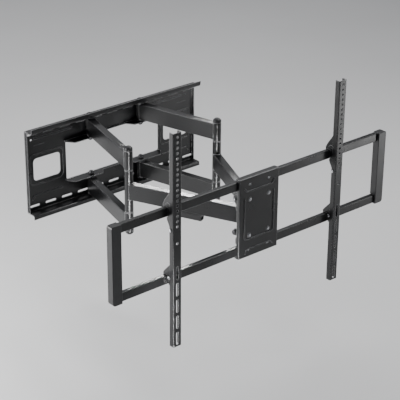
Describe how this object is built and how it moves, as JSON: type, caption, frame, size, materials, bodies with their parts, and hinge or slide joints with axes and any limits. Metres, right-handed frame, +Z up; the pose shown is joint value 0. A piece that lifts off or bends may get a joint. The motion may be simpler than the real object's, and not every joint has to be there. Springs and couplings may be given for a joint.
{
  "type": "full motion tv wall mount",
  "caption": "Wall mount with folding arms on a slotted wall plate, and a swivelling, tilting head with two rails and hooked brackets for a flat screen",
  "frame": {"origin": "on the back face of the wall plate, on its vertical centre line, 100 mm above the plate's middle height (the middle itself is an open window)", "axes": "+Z up, -Y from the wall towards the screen, +X to the right as seen from the screen side looking at the wall"},
  "size_m": [1.0394, 0.6952, 0.64],
  "materials": {
    "black_powder_coat": "satin black powder coat on steel sheet and tube",
    "black_plastic": "fine-grained black plastic",
    "black_nylon": "matte black nylon",
    "zinc_steel": "bright zinc-plated steel",
    "black_steel": "black-finished steel"
  },
  "bodies": {
    "wall": {"wall_plate": "black_powder_coat", "pivot_bolt_upper_left": "black_steel", "pivot_nut_upper_left": "black_steel", "pivot_bolt_upper_right": "black_steel", "pivot_nut_upper_right": "black_steel", "pivot_bolt_lower_left": "black_steel", "pivot_nut_lower_left": "black_steel", "pivot_bolt_lower_right": "black_steel", "pivot_nut_lower_right": "black_steel"},
    "first_arms_left": {"first_arm_upper_left": "black_powder_coat", "pivot_bush_upper_left": "black_nylon", "first_arm_lower_left": "black_powder_coat", "pivot_bush_lower_left": "black_nylon", "elbow_pin_left": "black_steel", "elbow_cap_top_left": "black_plastic", "elbow_cap_bottom_left": "black_plastic"},
    "first_arms_right": {"first_arm_upper_right": "black_powder_coat", "pivot_bush_upper_right": "black_nylon", "first_arm_lower_right": "black_powder_coat", "pivot_bush_lower_right": "black_nylon", "elbow_pin_right": "black_steel", "elbow_cap_top_right": "black_plastic", "elbow_cap_bottom_right": "black_plastic"},
    "second_arm_body_left": {"second_arm_left": "black_powder_coat", "elbow_washer_top_left": "black_nylon", "elbow_washer_bottom_left": "black_nylon", "cable_clip": "black_plastic"},
    "second_arm_body_right": {"second_arm_right": "black_powder_coat", "elbow_washer_top_right": "black_nylon", "elbow_washer_bottom_right": "black_nylon"},
    "yoke": {"yoke_plate_top": "black_powder_coat", "yoke_plate_bottom": "black_powder_coat", "head_pin_left": "black_steel", "head_pin_right": "black_steel", "swivel_pin": "black_steel", "swivel_spacer_top": "black_steel", "swivel_spacer_bottom": "black_steel"},
    "swivel": {"swivel_bracket": "black_powder_coat"},
    "tilt": {"tilt_cradle": "black_powder_coat", "tilt_bolt_left": "zinc_steel", "tilt_nut_left": "black_steel", "stop_bolt_left": "zinc_steel", "tilt_bolt_right": "zinc_steel", "tilt_nut_right": "black_steel", "stop_bolt_right": "zinc_steel"},
    "screen_frame": {"screen_plate": "black_powder_coat", "plate_screw_upper_left": "zinc_steel", "plate_screw_upper_right": "zinc_steel", "plate_screw_lower_left": "zinc_steel", "plate_screw_lower_right": "zinc_steel", "rail_upper": "black_powder_coat", "rail_lower": "black_powder_coat", "end_cap_left": "black_plastic", "end_cap_right": "black_plastic"},
    "bracket_left": {"screen_bracket_left": "black_powder_coat", "safety_screw_left": "zinc_steel", "lock_screw_left": "zinc_steel"},
    "bracket_right": {"screen_bracket_right": "black_powder_coat", "safety_screw_right": "zinc_steel", "lock_screw_right": "zinc_steel"}
  },
  "joints": [
    {"name": "fold_left_shoulder", "type": "hinge", "parent": "wall", "child": "first_arms_left", "pos_m": [-0.0984, -0.017, -0.1], "axis": [0, 0, -1], "range_deg": [-5, 58]},
    {"name": "fold_right_shoulder", "type": "hinge", "parent": "wall", "child": "first_arms_right", "pos_m": [0.0984, -0.017, -0.1], "axis": [0, 0, 1], "range_deg": [-5, 58]},
    {"name": "fold_left_elbow", "type": "hinge", "parent": "first_arms_left", "child": "second_arm_body_left", "pos_m": [-0.17129, -0.30172, -0.1], "axis": [0, 0, 1], "range_deg": [-9.3, 128]},
    {"name": "fold_right_elbow", "type": "hinge", "parent": "first_arms_right", "child": "second_arm_body_right", "pos_m": [0.17129, -0.30172, -0.1], "axis": [0, 0, -1], "range_deg": [-9.3, 128]},
    {"name": "fold_yoke", "type": "hinge", "parent": "second_arm_body_left", "child": "yoke", "pos_m": [-0.01997, -0.64352, -0.1], "axis": [0, 0, -1], "range_deg": [-4.3, 59]},
    {"name": "head_swivel", "type": "hinge", "parent": "yoke", "child": "swivel", "pos_m": [0, -0.64352, -0.1], "axis": [0, 0, 1], "range_deg": [-12, 12]},
    {"name": "head_tilt", "type": "hinge", "parent": "swivel", "child": "tilt", "pos_m": [0, -0.657, -0.1335], "axis": [1, 0, 0], "range_deg": [-2, 10]},
    {"name": "screen_level", "type": "hinge", "parent": "tilt", "child": "screen_frame", "pos_m": [0, -0.6785, -0.09], "axis": [0, 1, 0], "range_deg": [-3, 3]},
    {"name": "bracket_slide_left", "type": "slide", "parent": "screen_frame", "child": "bracket_left", "axis": [1, 0, 0], "range_m": [-0.145, 0.19]},
    {"name": "bracket_slide_right", "type": "slide", "parent": "screen_frame", "child": "bracket_right", "axis": [1, 0, 0], "range_m": [-0.18, 0.155]}
  ],
  "couplings": [
    {"joint": "fold_right_shoulder", "follows": "fold_left_shoulder", "ratio": 1},
    {"joint": "fold_left_elbow", "follows": "fold_left_shoulder", "ratio": 1.855},
    {"joint": "fold_right_elbow", "follows": "fold_left_shoulder", "ratio": 1.855},
    {"joint": "fold_yoke", "follows": "fold_left_shoulder", "ratio": 0.855}
  ]
}
